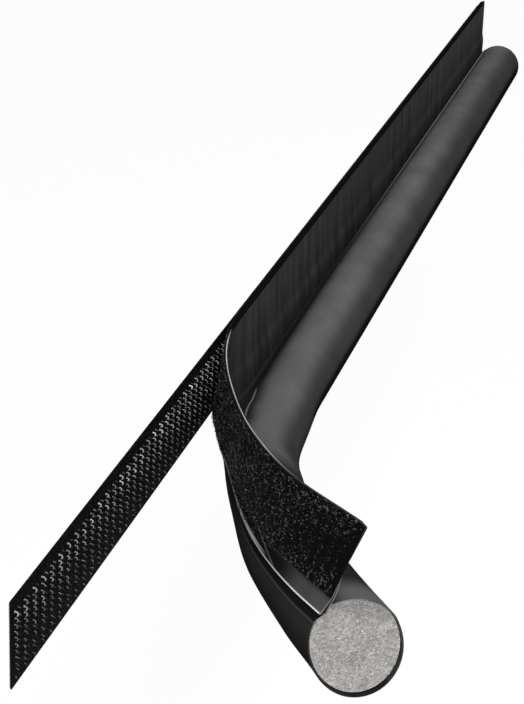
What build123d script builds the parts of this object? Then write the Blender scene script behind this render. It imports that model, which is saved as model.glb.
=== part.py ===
from build123d import *
from math import acos, asin, cos, pi, radians, sin, sqrt
import os

# Door seal strip: a foam roll in a folded cover whose flap is held to the door by a
# hook-and-loop tape.  Millimetres.
#
# The origin is the centre of the adhesive's back face, the face that lies on the door.
# +X runs along the strip to its far end, +Y points into the door, +Z is up.
# The strip hangs straight on its tape, and its near end (-X) is peeled off the door:
# it turns outward in plan and leans back a little more toward the cut end.

# Tape on the door
TAPE_LENGTH = 914.0
TAPE_WIDTH = 38.0
ADHESIVE_THICKNESS = 0.3
ADHESIVE_INSET = 0.5
HOOK_BASE = 0.7
HOOK_HEIGHT = 1.4
HOOK_ROWS = 13
HOOK_PITCH = 2.5
HOOK_STEM = 0.5
HOOK_HEAD = 1.1
HOOK_HEAD_HEIGHT = 0.55

# Cover sheet and its plies
SHEET = 1.0
PLY_GAP = 0.2
ROLL_RADIUS = 19.0
FOAM_CLEARANCE = 0.3
FLAP_TOP = 59.0
LAP_EDGE = 11.0
TUCK_TOP = 21.5
STEP_START = 22.5
STEP_RISE = 8.0
CREASE_FOLD = 0.5
WEB_ANGLE = 50.0
TUCK_BEND = 6.0

# Loop tape on the back of the flap
LOOP_WIDTH = 38.0
LOOP_THICKNESS = 1.7
LOOP_BELOW_EDGE = 0.7
LOOP_CLEARANCE = 0.3
HOOK_TO_LOOP = 0.1

# Where the roll hangs, and how its near end is peeled away
ROLL_DROP = 35.7
PEEL_FROM = 192.0
PEEL_LENGTH = 205.0
TURN_AT = (0.0, 13.0, 25.0, 33.0, 41.0, 43.5)
LEAN_AT = (0.0, 0.0, 2.0, 4.0, 9.0, 20.0)
STATION = 13.0

# The slanting scissor cut at the near end
CUT_LEAN = 0.37
CUT_SIDE = 0.30
CUT_SPARE = 20.0

FOAM_RADIUS = ROLL_RADIUS - SHEET - FOAM_CLEARANCE
HALF_TAPE = TAPE_LENGTH / 2
LOOP_IN = ROLL_RADIUS + LOOP_CLEARANCE
LOOP_OUT = LOOP_IN + LOOP_THICKNESS
TAPE_FACE = ADHESIVE_THICKNESS + HOOK_BASE + HOOK_HEIGHT
ROLL_OUT = TAPE_FACE + HOOK_TO_LOOP + LOOP_OUT

# The section is drawn with n toward the door and w up, from the roll's centre.
# Three plies lie side by side at the seam: the lap, the tucked end and the front ply.
MID = ROLL_RADIUS - SHEET / 2
LAP_N = MID
TUCK_N = LAP_N - SHEET - PLY_GAP
FRONT_N = TUCK_N - SHEET - PLY_GAP


def line(a, b):
    return ("line", a, b)


def arc(centre, radius, start, sweep):
    return ("arc", centre, radius, start, sweep)


def polar(centre, radius, angle):
    return (centre[0] + radius * cos(angle), centre[1] + radius * sin(angle))


def sheet_path():
    """The middle line of the cover sheet from its lap edge to its tucked end."""
    fold = (LAP_N - TUCK_N) / 2
    fold_w = FLAP_TOP - fold - SHEET / 2
    fold_c = (LAP_N - fold, fold_w)

    # the front ply steps over the tucked end with two equal arcs
    shift = TUCK_N - FRONT_N
    step_r = (STEP_RISE ** 2 + shift ** 2) / (4 * shift)
    step_a = asin(STEP_RISE / 2 / step_r)
    step_top = STEP_START + STEP_RISE
    upper_c = (TUCK_N - step_r, step_top)
    lower_c = (FRONT_N + step_r, STEP_START)

    # crease between the flap and the roll, and the web that bridges to the roll
    crease_r = CREASE_FOLD + SHEET / 2
    web = radians(WEB_ANGLE)
    crease_n = FRONT_N - crease_r
    crease_w = (MID + crease_r - crease_n * cos(web)) / sin(web)
    crease_c = (crease_n, crease_w)
    web_from = polar(crease_c, crease_r, web - pi)
    web_to = polar((0, 0), MID, web)

    # the other end of the sheet leaves the roll and rises into the seam
    tuck_c_n = TUCK_N + TUCK_BEND
    tuck_a = acos(tuck_c_n / (MID + TUCK_BEND))
    tuck_c = (tuck_c_n, (MID + TUCK_BEND) * sin(tuck_a))
    around = 2 * pi - web + tuck_a

    return [
        line((LAP_N, LAP_EDGE), (LAP_N, fold_w)),
        arc(fold_c, fold, 0, pi),
        line((TUCK_N, fold_w), (TUCK_N, step_top)),
        arc(upper_c, step_r, 0, -step_a),
        arc(lower_c, step_r, pi - step_a, step_a),
        line((FRONT_N, STEP_START), (FRONT_N, crease_w)),
        arc(crease_c, crease_r, 0, web - pi),
        line(web_from, web_to),
        arc((0, 0), MID, web, around / 3),
        arc((0, 0), MID, web + around / 3, around / 3),
        arc((0, 0), MID, web + around * 2 / 3, around / 3),
        arc(tuck_c, TUCK_BEND, pi + tuck_a, -tuck_a),
        line((TUCK_N, tuck_c[1]), (TUCK_N, TUCK_TOP)),
    ]


def beside(piece, side):
    """A piece of the path moved half a sheet to its left (side 1) or right (-1)."""
    half = side * SHEET / 2
    if piece[0] == "line":
        a, b = piece[1], piece[2]
        run = sqrt((b[0] - a[0]) ** 2 + (b[1] - a[1]) ** 2)
        left = (-(b[1] - a[1]) / run * half, (b[0] - a[0]) / run * half)
        return line((a[0] + left[0], a[1] + left[1]), (b[0] + left[0], b[1] + left[1]))
    centre, radius, start, sweep = piece[1:]
    beside_r = radius - half if sweep > 0 else radius + half
    if beside_r < PLY_GAP:
        return line(polar(centre, beside_r, start), polar(centre, beside_r, start + sweep))
    return arc(centre, beside_r, start, sweep)


def end_points(piece):
    if piece[0] == "line":
        return piece[1], piece[2]
    centre, radius, start, sweep = piece[1:]
    return polar(centre, radius, start), polar(centre, radius, start + sweep)


def edge(piece):
    first, last = end_points(piece)
    if piece[0] == "line":
        return Edge.make_line(first, last)
    centre, radius, start, sweep = piece[1:]
    middle = polar(centre, radius, start + sweep / 2)
    return Edge.make_three_point_arc(first, middle, last)


def sheet_section():
    path = sheet_path()
    left = [beside(p, 1) for p in path]
    right = [beside(p, -1) for p in path]
    edges = [edge(p) for p in right]
    edges.append(Edge.make_line(end_points(right[-1])[1], end_points(left[-1])[1]))
    edges += [edge(p) for p in reversed(left)]
    edges.append(Edge.make_line(end_points(left[0])[0], end_points(right[0])[0]))
    return Face(Wire(edges))


def between(values, share):
    """A smooth value between the ones given at equal steps along the peeled end."""
    steps = len(values) - 1
    spot = min(max(share, 0.0) * steps, steps)
    i = min(int(spot), steps - 1)
    u = spot - i

    def slope(k):
        if k == 0:
            return 0.0
        if k == steps:
            return values[k] - values[k - 1]
        return (values[k + 1] - values[k - 1]) / 2

    rise = 3 * u ** 2 - 2 * u ** 3
    level = values[i] * (1 - rise) + values[i + 1] * rise
    return level + slope(i) * (u ** 3 - 2 * u ** 2 + u) + slope(i + 1) * (u ** 3 - u ** 2)


def cross_plane(centre, turn, lean):
    """The plane across the strip: x toward the door, y up the flap, z back along it."""
    out = Vector(-sin(turn), cos(turn), 0)
    toward_door = out * cos(lean) + Vector(0, 0, 1) * sin(lean)
    ahead = Vector(-cos(turn), -sin(turn), 0)
    return Plane(origin=centre, x_dir=toward_door, z_dir=-ahead)


def stations():
    """Evenly spaced planes across the peeled end, and the plane where its cut is."""
    steps = round(PEEL_LENGTH / STATION)
    step = PEEL_LENGTH / steps
    centre = Vector(-PEEL_FROM, -ROLL_OUT, -ROLL_DROP)
    planes = [cross_plane(centre + Vector(k * step, 0, 0), 0, 0) for k in (1, 0)]
    fine = 20
    for k in range(steps):
        for j in range(fine):
            turn = radians(between(TURN_AT, (k + (j + 0.5) / fine) / steps))
            centre += Vector(-cos(turn), -sin(turn), 0) * (step / fine)
        turn = radians(between(TURN_AT, (k + 1) / steps))
        lean = radians(between(LEAN_AT, (k + 1) / steps))
        planes.append(cross_plane(centre, turn, lean))
    end = planes[-1]
    planes.append(cross_plane(centre - end.z_dir * CUT_SPARE, turn, lean))
    return planes, end


def along(section, planes):
    """The section carried straight along the door and then round the peeled end."""
    start = planes[0]
    length = HALF_TAPE - start.origin.X
    straight = extrude(start * section, amount=length, dir=(1, 0, 0))
    peeled = loft([plane * section for plane in planes], ruled=True)
    return straight.fuse(peeled)


def cut_tool(end):
    """What lies past the slanting cut: it bends at the seam and slants across the roll."""
    far = 3 * FLAP_TOP
    flap_slope = CUT_SIDE * ROLL_RADIUS / (FLAP_TOP - LAP_EDGE)
    outline = [
        (-far, (far + LAP_EDGE) * CUT_LEAN),
        (LAP_EDGE, 0),
        (far, (far - LAP_EDGE) * flap_slope),
        (far, far),
        (-far, far),
    ]
    ahead = -end.z_dir
    up = end.y_dir
    points = [end.origin + up * w + ahead * d for w, d in outline]
    face = Face(Wire.make_polygon(points, close=True))
    slant = (end.x_dir - ahead * CUT_SIDE).normalized()
    return extrude(face, amount=2 * ROLL_RADIUS + 10, dir=slant, both=True)


def hook_tape():
    """The tape on the door: a flat base with rows of hooks along it."""
    back = -ADHESIVE_THICKNESS
    base = Pos(0, back - HOOK_BASE / 2, 0) * Box(TAPE_LENGTH, HOOK_BASE, TAPE_WIDTH)
    stem_h = HOOK_HEIGHT - HOOK_HEAD_HEIGHT
    foot = back - HOOK_BASE
    neck = foot - stem_h
    top = foot - HOOK_HEIGHT
    rows = []
    for k in range(HOOK_ROWS):
        z = (k - (HOOK_ROWS - 1) / 2) * HOOK_PITCH
        side = 1 if k % 2 else -1
        outline = [
            (foot + 0.2, z - HOOK_STEM / 2 * side),
            (neck, z - HOOK_STEM / 2 * side),
            (top + 0.1, z - HOOK_STEM / 4 * side),
            (top, z),
            (top + 0.1, z + HOOK_HEAD / 2 * side),
            (neck + 0.05, z + (HOOK_HEAD - HOOK_STEM / 2) * side),
            (neck, z + HOOK_STEM / 2 * side),
            (foot + 0.2, z + HOOK_STEM / 2 * side),
        ]
        points = [Vector(-HALF_TAPE, y, zz) for y, zz in outline]
        face = Face(Wire.make_polygon(points, close=True))
        rows.append(extrude(face, amount=TAPE_LENGTH, dir=(1, 0, 0)))
    return base.fuse(*rows)


def adhesive():
    width = TAPE_WIDTH - 2 * ADHESIVE_INSET
    return Pos(0, -ADHESIVE_THICKNESS / 2, 0) * Box(TAPE_LENGTH, ADHESIVE_THICKNESS, width)


def loop_section():
    top = FLAP_TOP - LOOP_BELOW_EDGE
    mid = ((LOOP_IN + LOOP_OUT) / 2, top - LOOP_WIDTH / 2)
    return Pos(*mid) * Rectangle(LOOP_THICKNESS, LOOP_WIDTH)


def build():
    planes, end = stations()
    tool = cut_tool(end)
    return {
        "cover": along(sheet_section(), planes) - tool,
        "foam_core": along(Circle(FOAM_RADIUS), planes) - tool,
        "loop_tape": along(loop_section(), planes) - tool,
        "hook_tape": hook_tape(),
        "adhesive_layer": adhesive(),
    }


os.makedirs("parts", exist_ok=True)
for name, shape in build().items():
    solids = shape.solids()
    print(name, "solids", len(solids), "valid", shape.is_valid, "volume", round(shape.volume, 1))
    export_step(solids[0] if len(solids) == 1 else shape, f"parts/{name}.step")
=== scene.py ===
# %% [markdown]
# # A door seal strip, dressed around its solids
#
# The strip is a foam roll in a folded cover sheet. The sheet's flap carries a tape of
# soft loops, and a tape of small hooks is glued to the door. The far part hangs on the
# door and the near end is peeled away, so all five pieces can be seen.
#
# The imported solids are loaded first, as the fixed frame that every piece is built in.

import math
import random

import bpy
import numpy as np
from mathutils import Matrix, Vector, noise


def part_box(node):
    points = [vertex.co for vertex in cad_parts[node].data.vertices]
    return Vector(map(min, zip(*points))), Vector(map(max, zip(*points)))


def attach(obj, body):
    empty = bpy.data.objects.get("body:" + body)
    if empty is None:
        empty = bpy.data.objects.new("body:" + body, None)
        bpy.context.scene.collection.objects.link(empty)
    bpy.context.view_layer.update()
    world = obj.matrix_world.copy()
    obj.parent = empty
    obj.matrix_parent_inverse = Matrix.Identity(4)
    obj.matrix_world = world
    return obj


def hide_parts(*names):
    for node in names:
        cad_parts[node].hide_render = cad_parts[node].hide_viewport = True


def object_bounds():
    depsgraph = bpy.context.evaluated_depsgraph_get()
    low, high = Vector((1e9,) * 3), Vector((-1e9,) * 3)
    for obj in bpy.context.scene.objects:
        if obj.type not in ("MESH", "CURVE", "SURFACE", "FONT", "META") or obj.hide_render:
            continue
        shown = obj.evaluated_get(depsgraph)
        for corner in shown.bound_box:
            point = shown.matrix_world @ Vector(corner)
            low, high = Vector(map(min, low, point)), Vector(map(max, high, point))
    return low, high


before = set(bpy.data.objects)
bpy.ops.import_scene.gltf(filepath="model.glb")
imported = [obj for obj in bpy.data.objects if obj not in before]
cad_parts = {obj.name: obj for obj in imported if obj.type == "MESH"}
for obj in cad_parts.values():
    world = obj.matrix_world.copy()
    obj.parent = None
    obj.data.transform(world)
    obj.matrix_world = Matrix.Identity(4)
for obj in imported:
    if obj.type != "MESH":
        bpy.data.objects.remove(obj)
cad_low, cad_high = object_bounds()
MM = 0.001
print("solids:", sorted(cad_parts))

# %% [markdown]
# ## The camera
#
# The camera stands before the peeled end, a little above it, and looks along the strip,
# down and toward the door. Its place and its lens were solved from the photograph, so
# the strip falls on the same part of the picture. Three directions set its rotation:
# to the right, up, and backward, away from what it looks at.

# %% Camera
CAMERA_PLACE = Vector((-826.1, -226.8, 356.2)) * MM
CAMERA_YAW = math.radians(18.69)
CAMERA_DOWN = math.radians(28.43)
FOCAL_PIXELS = 1417
IMAGE_HEIGHT = 704
SENSOR = 36.0

ahead = Vector((
    math.cos(CAMERA_YAW) * math.cos(CAMERA_DOWN),
    math.sin(CAMERA_YAW) * math.cos(CAMERA_DOWN),
    -math.sin(CAMERA_DOWN),
))
to_right = Vector((math.sin(CAMERA_YAW), -math.cos(CAMERA_YAW), 0))
upward = to_right.cross(ahead)
turn = Matrix((to_right, upward, -ahead)).transposed().to_4x4()

camera_data = bpy.data.cameras.new("camera")
camera_data.sensor_width = SENSOR
camera_data.lens = FOCAL_PIXELS / IMAGE_HEIGHT * SENSOR
camera_data.clip_start = 0.01
camera = bpy.data.objects.new("camera", camera_data)
camera.matrix_world = Matrix.Translation(CAMERA_PLACE) @ turn
bpy.context.collection.objects.link(camera)
bpy.context.scene.camera = camera
print("lens %.1f mm" % camera_data.lens)

# %% [markdown]
# ## Materials from nodes
#
# Every surface gets its colour, roughness and bump from nodes. A short helper makes a
# material with one shader and hands back small functions that add and join nodes, so
# that each recipe below reads as a list of what feeds what. Three more lay the nodes
# that come up most often: a colour ramp, a fade between two values and a bump.

# %% Material helpers
def new_material(name):
    material = bpy.data.materials.new(name)
    material.use_nodes = True
    tree = material.node_tree
    shader = tree.nodes["Principled BSDF"]

    def add(kind, **settings):
        node = tree.nodes.new("ShaderNode" + kind)
        for key, value in settings.items():
            if key in node.inputs:
                node.inputs[key].default_value = value
            else:
                setattr(node, key, value)
        return node

    def join(source, target):
        tree.links.new(source, target)

    return material, shader, add, join


def ramp(add, join, source, stops):
    """A colour ramp with (place, grey) stops, fed by source."""
    node = add("ValToRGB")
    elements = node.color_ramp.elements
    elements[0].position, elements[1].position = stops[0][0], stops[-1][0]
    for place, _ in stops[1:-1]:
        elements.new(place)
    for element, (_, grey) in zip(elements, stops):
        colour = grey if hasattr(grey, "__len__") else (grey, grey, grey)
        element.color = (*colour, 1)
    join(source, node.inputs["Fac"])
    return node.outputs["Color"]


def fade(add, join, source, start, end, low=0.0, high=1.0, kind="LINEAR"):
    """Runs from low where source is start to high where it is end, and level outside."""
    node = add("MapRange", interpolation_type=kind, **{
        "From Min": start, "From Max": end, "To Min": low, "To Max": high
    })
    join(source, node.inputs["Value"])
    return node.outputs["Result"]


def bump(add, join, height, distance, strength=1.0, under=None):
    node = add("Bump", Strength=strength, Distance=distance)
    join(height, node.inputs["Height"])
    if under is not None:
        join(under, node.inputs["Normal"])
    return node.outputs["Normal"]


print("material helpers ready")

# %% [markdown]
# ## The room
#
# The photograph has a plain white ground. The floor lies well below the strip, which is
# held by the door and rests on nothing. The floor looks white to the camera, and a part
# of its real shading is kept, so that the soft shadow of the strip still falls on it.

# %% Floor
FLOOR_DROP = 0.22
FLOOR_SIZE = 14.0

bpy.ops.object.select_all(action="DESELECT")
bpy.ops.mesh.primitive_plane_add(size=FLOOR_SIZE, location=(0, 0, cad_low[2] - FLOOR_DROP))
floor = bpy.context.object
floor.name = "floor"
print("floor at height %.2f m" % floor.location.z)

# %% [markdown]
# A white ground could be made with strong lamps, but they would wash out a black strip.
# The Light Path node is gentler. It tells the rays that look at the ground, straight from
# the camera, off a gloss or through glass, from the rays that light the strip, so the
# ground can look white and still throw little light back.

# %% White paper on the floor
FLOOR_SHADING = 0.06
FLOOR_WHITE = 0.92
FLOOR_BOUNCE = 0.22


def seen_white(tree):
    """1 for the rays that come from the camera, off a gloss or through glass."""
    path = tree.nodes.new("ShaderNodeLightPath")
    seen = path.outputs["Is Camera Ray"]
    for ray in ("Is Glossy Ray", "Is Transmission Ray"):
        total = tree.nodes.new("ShaderNodeMath")
        total.operation, total.use_clamp = "ADD", True
        tree.links.new(seen, total.inputs[0])
        tree.links.new(path.outputs[ray], total.inputs[1])
        seen = total.outputs[0]
    return seen


paper, shader, add, join = new_material("white_paper")
seen = seen_white(paper.node_tree)
tint = add("Mix", data_type="RGBA")
tint.inputs[6].default_value = (FLOOR_BOUNCE,) * 3 + (1,)
tint.inputs[7].default_value = (FLOOR_WHITE,) * 3 + (1,)
join(seen, tint.inputs["Factor"])
join(tint.outputs[2], shader.inputs["Base Color"])
shader.inputs["Roughness"].default_value = 0.95
shader.inputs["Specular IOR Level"].default_value = 0.1
glow = add("Emission", Strength=1.0)
share = add("Math", operation="MULTIPLY")
share.inputs[1].default_value = 1 - FLOOR_SHADING
join(seen, share.inputs[0])
blend_in = add("MixShader")
join(share.outputs[0], blend_in.inputs["Fac"])
join(shader.outputs[0], blend_in.inputs[1])
join(glow.outputs[0], blend_in.inputs[2])
join(blend_in.outputs[0], paper.node_tree.nodes["Material Output"].inputs["Surface"])
floor.data.materials.append(paper)
print("floor material:", paper.name)

# %% [markdown]
# The sky does the same: it is plain white to look at, and lights the strip with less.

# %% Sky
SKY_LIGHT = 0.30

world = bpy.data.worlds.new("studio")
world.use_nodes = True
bpy.context.scene.world = world
tree = world.node_tree
sky = tree.nodes["Background"]
sky.inputs["Color"].default_value = (1, 1, 1, 1)
sky.inputs["Strength"].default_value = SKY_LIGHT
backdrop = tree.nodes.new("ShaderNodeBackground")
backdrop.inputs["Color"].default_value = (1, 1, 1, 1)
backdrop.inputs["Strength"].default_value = 1.0
choose = tree.nodes.new("ShaderNodeMixShader")
tree.links.new(seen_white(tree), choose.inputs["Fac"])
tree.links.new(sky.outputs[0], choose.inputs[1])
tree.links.new(backdrop.outputs[0], choose.inputs[2])
tree.links.new(choose.outputs[0], tree.nodes["World Output"].inputs["Surface"])
print("sky light", SKY_LIGHT)

# %% [markdown]
# Two soft lamps do the rest. A long one over the strip gives the roll its light top, and
# a square one near the camera opens up the peeled end. Both are large, so that shadows
# stay soft, and weak enough for a colour to come out about as it is written.

# %% Lamps
def softbox(name, place, aim, size, watts):
    lamp_data = bpy.data.lights.new(name, "AREA")
    lamp_data.shape = "RECTANGLE"
    lamp_data.size, lamp_data.size_y = size
    lamp_data.energy = watts
    lamp = bpy.data.objects.new(name, lamp_data)
    toward = Vector(aim) - Vector(place)
    lamp.matrix_world = (
        Matrix.Translation(place) @ toward.to_track_quat("-Z", "Y").to_matrix().to_4x4()
    )
    bpy.context.collection.objects.link(lamp)


softbox("key", place=(-0.1, -0.42, 1.25), aim=(-0.1, -0.05, 0), size=(2.4, 0.45), watts=21)
softbox(
    "near_fill", place=(-1.5, -0.62, 0.55), aim=(-0.37, -0.11, -0.03), size=(0.8, 0.8), watts=17
)
bpy.context.scene.view_settings.view_transform = "Standard"
print("two lamps")

# %% [markdown]
# ## How the strip is peeled
#
# A real strip is made straight and peeled afterwards, and the scene does the same. Each
# piece is modelled straight, hanging on the door, and then one helper carries its
# vertices round the peel. `TURN_AT` and `LEAN_AT` say, in degrees at even steps along the
# peeled end, how far the strip has turned from the door and how far its flap leans out.
#
# The sizes are those of the solids. `ROLL_OUT` and `ROLL_DROP` say how far the roll's
# centre stands out from the door and below the middle of the tape. The heights of the
# flap, the lap edge and the tucked end are measured up from that centre.

# %% Sizes of the strip and the peel
SHEET = 1.0 * MM
PLY_GAP = 0.2 * MM
ROLL_RADIUS = 19.0 * MM
ROLL_OUT = 23.5 * MM
ROLL_DROP = 35.7 * MM
FLAP_TOP = 59.0 * MM
LAP_EDGE = 11.0 * MM
TUCK_TOP = 21.5 * MM
LOOP_FROM = 19.3 * MM
LOOP_GROUND = 1.1 * MM
PEEL_FROM = -192.0 * MM
PEEL_LENGTH = 205.0 * MM
TURN_AT = (0.0, 13.0, 25.0, 33.0, 41.0, 43.5)
LEAN_AT = (0.0, 0.0, 2.0, 4.0, 9.0, 20.0)

far_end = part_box("hook_tape")[1][0]
cut_end = PEEL_FROM - PEEL_LENGTH
CENTRE = Vector((0, -ROLL_OUT, -ROLL_DROP))
print("cut end at x %.3f m" % cut_end)

# %% [markdown]
# A bend could be made with a curve and a Curve modifier, but that gives little say over
# the lean. Here the route of the roll's middle is added up from many short strides, each
# turned a little further, and a point of the strip is then carried to its place beside
# that route. What lies before the peel stays exactly where it is.

# %% The peel helper
def eased(values, share):
    """A smooth value between the ones given at even steps, for an array of shares."""
    values = np.array(values)
    steps = len(values) - 1
    slopes = np.zeros(steps + 1)
    slopes[1:-1] = (values[2:] - values[:-2]) / 2
    slopes[-1] = values[-1] - values[-2]
    spot = np.clip(share, 0, 1) * steps
    i = np.minimum(spot.astype(int), steps - 1)
    u = spot - i
    blend = 3 * u**2 - 2 * u**3
    level = values[i] * (1 - blend) + values[i + 1] * blend
    return level + slopes[i] * (u**3 - 2 * u**2 + u) + slopes[i + 1] * (u**3 - u**2)


CUT_SPARE = 20.0 * MM
ROUTE_STEPS = 800
route_s = np.linspace(0, PEEL_LENGTH + CUT_SPARE, ROUTE_STEPS)
route_turn = np.radians(eased(TURN_AT, route_s / PEEL_LENGTH))
half_turn = (route_turn[1:] + route_turn[:-1]) / 2
stride = route_s[1]
route_x = PEEL_FROM - np.append(0, np.cumsum(np.cos(half_turn))) * stride
route_y = -ROLL_OUT - np.append(0, np.cumsum(np.sin(half_turn))) * stride


def peel(points):
    """Moves straight-strip points (an n by 3 array) round the peeled end."""
    s = np.maximum(PEEL_FROM - points[:, 0], 0)
    toward_door = points[:, 1] + ROLL_OUT
    up = points[:, 2] + ROLL_DROP
    angle = np.radians(eased(TURN_AT, s / PEEL_LENGTH))
    lean = np.radians(eased(LEAN_AT, s / PEEL_LENGTH))
    outward = toward_door * np.cos(lean) - up * np.sin(lean)
    moved = np.empty_like(points)
    moved[:, 0] = np.interp(s, route_s, route_x) - outward * np.sin(angle)
    moved[:, 1] = np.interp(s, route_s, route_y) + outward * np.cos(angle)
    moved[:, 2] = -ROLL_DROP + toward_door * np.sin(lean) + up * np.cos(lean)
    straight = points[:, 0] > PEEL_FROM
    moved[straight] = points[straight]
    return moved


def peel_mesh(obj):
    mesh = obj.data
    flat = np.empty(len(mesh.vertices) * 3)
    mesh.vertices.foreach_get("co", flat)
    mesh.vertices.foreach_set("co", peel(flat.reshape(-1, 3)).ravel())
    mesh.update()


print("the peel turns %.1f degrees" % math.degrees(route_turn[-1]))

# %% [markdown]
# The near end was cut with scissors, on a slant: the lower and the outer side are left
# longer. On the flap they also wandered, so a few millimetres are added there, given at
# heights above the roll's centre.

# %% The scissor cut
CUT_LEAN = 0.37
CUT_SIDE = 0.30
CUT_WANDER_W = (7.0, 11.0, 20.0, 38.0, 59.0)
CUT_WANDER = (0.0, 4.4, 6.0, 3.0, 3.8)
FLAP_SIDE = (13.5 * MM, 16.0 * MM)


def cut_past(toward_door, up, wandering=1.0):
    """How far past the end plane the slanting scissor cut runs at a point of the section."""
    if up < LAP_EDGE:
        slant = (LAP_EDGE - up) * CUT_LEAN
    else:
        slant = (up - LAP_EDGE) * CUT_SIDE * ROLL_RADIUS / (FLAP_TOP - LAP_EDGE)
    on_flap = np.interp(toward_door, FLAP_SIDE, (0, 1))
    wander = np.interp(up / MM, CUT_WANDER_W, CUT_WANDER) * MM * on_flap
    return slant - CUT_SIDE * toward_door + wander * wandering


print("cut slants %.1f mm across the roll" % (2 * CUT_SIDE * ROLL_RADIUS / MM))

# %% [markdown]
# ## Small tools for modelling
#
# A piece starts from a single vertex or a primitive and is shaped in edit mode. These
# helpers hold the few lines that every piece repeats: starting clean, drawing a path
# with extrude and spin, and applying a modifier at once.

# %% Modelling helpers
def start_clean():
    if bpy.context.object and bpy.context.object.mode != "OBJECT":
        bpy.ops.object.mode_set(mode="OBJECT")
    bpy.ops.object.select_all(action="DESELECT")


def one_vertex(name, place):
    """A mesh of one selected vertex at place, left in edit mode."""
    start_clean()
    bpy.ops.mesh.primitive_plane_add(size=MM, location=(0, 0, 0))
    obj = bpy.context.object
    obj.name = name
    bpy.ops.object.mode_set(mode="EDIT")
    bpy.ops.mesh.select_all(action="SELECT")
    bpy.ops.mesh.merge(type="CENTER")
    bpy.ops.transform.translate(value=place)
    return obj


def run(step, count):
    """Extrudes the selection count times, each time by step."""
    for _ in range(count):
        bpy.ops.mesh.extrude_region_move(TRANSFORM_OT_translate={"value": step})


def finish_modifier(obj, kind, **settings):
    start_clean()
    obj.select_set(True)
    bpy.context.view_layer.objects.active = obj
    modifier = obj.modifiers.new(kind.lower(), kind)
    for key, value in settings.items():
        setattr(modifier, key, value)
    bpy.ops.object.modifier_apply(modifier=modifier.name)


def section(toward_door, up):
    """A point of the straight section, measured from the roll's centre."""
    return Vector((far_end, toward_door - ROLL_OUT, up - ROLL_DROP))


def turn_about(centre, degrees, steps):
    """Spins the selection about a centre of the section; a plus turn goes from door to up."""
    bpy.ops.mesh.spin(
        steps=steps, angle=-math.radians(degrees), center=section(*centre), axis=(1, 0, 0)
    )


print("modelling helpers ready")

# %% [markdown]
# ## The cover sheet
#
# The cover is one sheet. It could be lofted from many sections, but drawing its fold
# line once is closer to how it is sewn: from the end that is tucked into the seam, down,
# round the roll, up over a narrow welt into the crease, up the front of the flap, over
# the free edge and down the back to the cut lap edge. The line is then extruded along
# the strip, and given its thickness last.
#
# The line runs in the middle of the sheet's thickness, so the plies of the flap lie one
# sheet and one small gap apart. Where a straight part has to meet a bend without a kink,
# a little trigonometry gives the point and the angle.

# %% Sizes of the fold line
MID = ROLL_RADIUS - SHEET / 2
LAP_N = MID
TUCK_N = LAP_N - SHEET - PLY_GAP
FRONT_N = TUCK_N - SHEET - PLY_GAP
TUCK_BEND = 6.0 * MM
WEB = math.radians(50.0)
CREASE_R = 1.0 * MM
WELT_R = 0.55 * MM
STEP_START = 22.5 * MM
STEP_RISE = 8.0 * MM
FOLD_R = (LAP_N - TUCK_N) / 2

tuck_n = TUCK_N + TUCK_BEND
tuck_angle = math.acos(tuck_n / (MID + TUCK_BEND))
tuck_w = (MID + TUCK_BEND) * math.sin(tuck_angle)
crease_n = FRONT_N - CREASE_R
crease_w = (MID + CREASE_R - crease_n * math.cos(WEB)) / math.sin(WEB)
web_from = Vector((MID * math.cos(WEB), MID * math.sin(WEB)))
web_to = Vector((crease_n, crease_w)) - CREASE_R * Vector((math.cos(WEB), math.sin(WEB)))
web_way = (web_to - web_from).normalized()
web_middle = (web_from + web_to) / 2
around = 360 - math.degrees(WEB) + math.degrees(tuck_angle)
fold_w = FLAP_TOP - FOLD_R - SHEET / 2
print("sheet goes %.0f degrees round the roll" % around)

# %% [markdown]
# A single vertex is now led along the section. Extruding draws the straight parts and
# spinning the bends. The front ply has a soft step, where it comes to lie over the tucked
# end: its steps outward follow half a cosine wave.

# %% Draw the fold line
TUCK_CUTS, TUCK_BEND_CUTS, ROLL_CUTS = 6, 4, 72
BEND_CUTS, LOW_CUTS, STEP_CUTS, FRONT_CUTS, BACK_CUTS = 6, 4, 6, 12, 20


def run_to(start, end, count):
    """Extrudes in even steps along the section from one point to another."""
    step = (end - start) / count
    run((0, step.x, step.y), count)


cover = one_vertex("cover_sheet", section(TUCK_N, TUCK_TOP))
run((0, 0, -(TUCK_TOP - tuck_w) / TUCK_CUTS), TUCK_CUTS)
turn_about((tuck_n, tuck_w), math.degrees(tuck_angle), TUCK_BEND_CUTS)
turn_about((0, 0), -around, ROLL_CUTS)
run_to(web_from, web_middle - web_way * WELT_R, 1)
turn_about(web_middle, -180, BEND_CUTS)
run_to(web_middle + web_way * WELT_R, web_to, 1)
turn_about((crease_n, crease_w), 180 - math.degrees(WEB), BEND_CUTS)
run_to(Vector((FRONT_N, crease_w)), Vector((FRONT_N, STEP_START)), LOW_CUTS)
for k in range(STEP_CUTS):
    before, after = ((1 - math.cos(math.pi * j / STEP_CUTS)) / 2 for j in (k, k + 1))
    run((0, (after - before) * (TUCK_N - FRONT_N), STEP_RISE / STEP_CUTS), 1)
run((0, 0, (fold_w - STEP_START - STEP_RISE) / FRONT_CUTS), FRONT_CUTS)
turn_about((LAP_N - FOLD_R, fold_w), -180, BEND_CUTS)
run((0, 0, -(fold_w - LAP_EDGE) / BACK_CUTS), BACK_CUTS)
bpy.ops.object.mode_set(mode="OBJECT")
print("fold line:", len(cover.data.vertices), "points")

# %% [markdown]
# The line becomes the sheet by one long extrusion, cut into even steps. The points are
# numbered along the fold line first, so each vertex knows how far along the cloth it
# lies. Those two lengths, along the strip and across the cloth, become the UV map, and
# the streaks in the material can then run straight up the flap.

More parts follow.
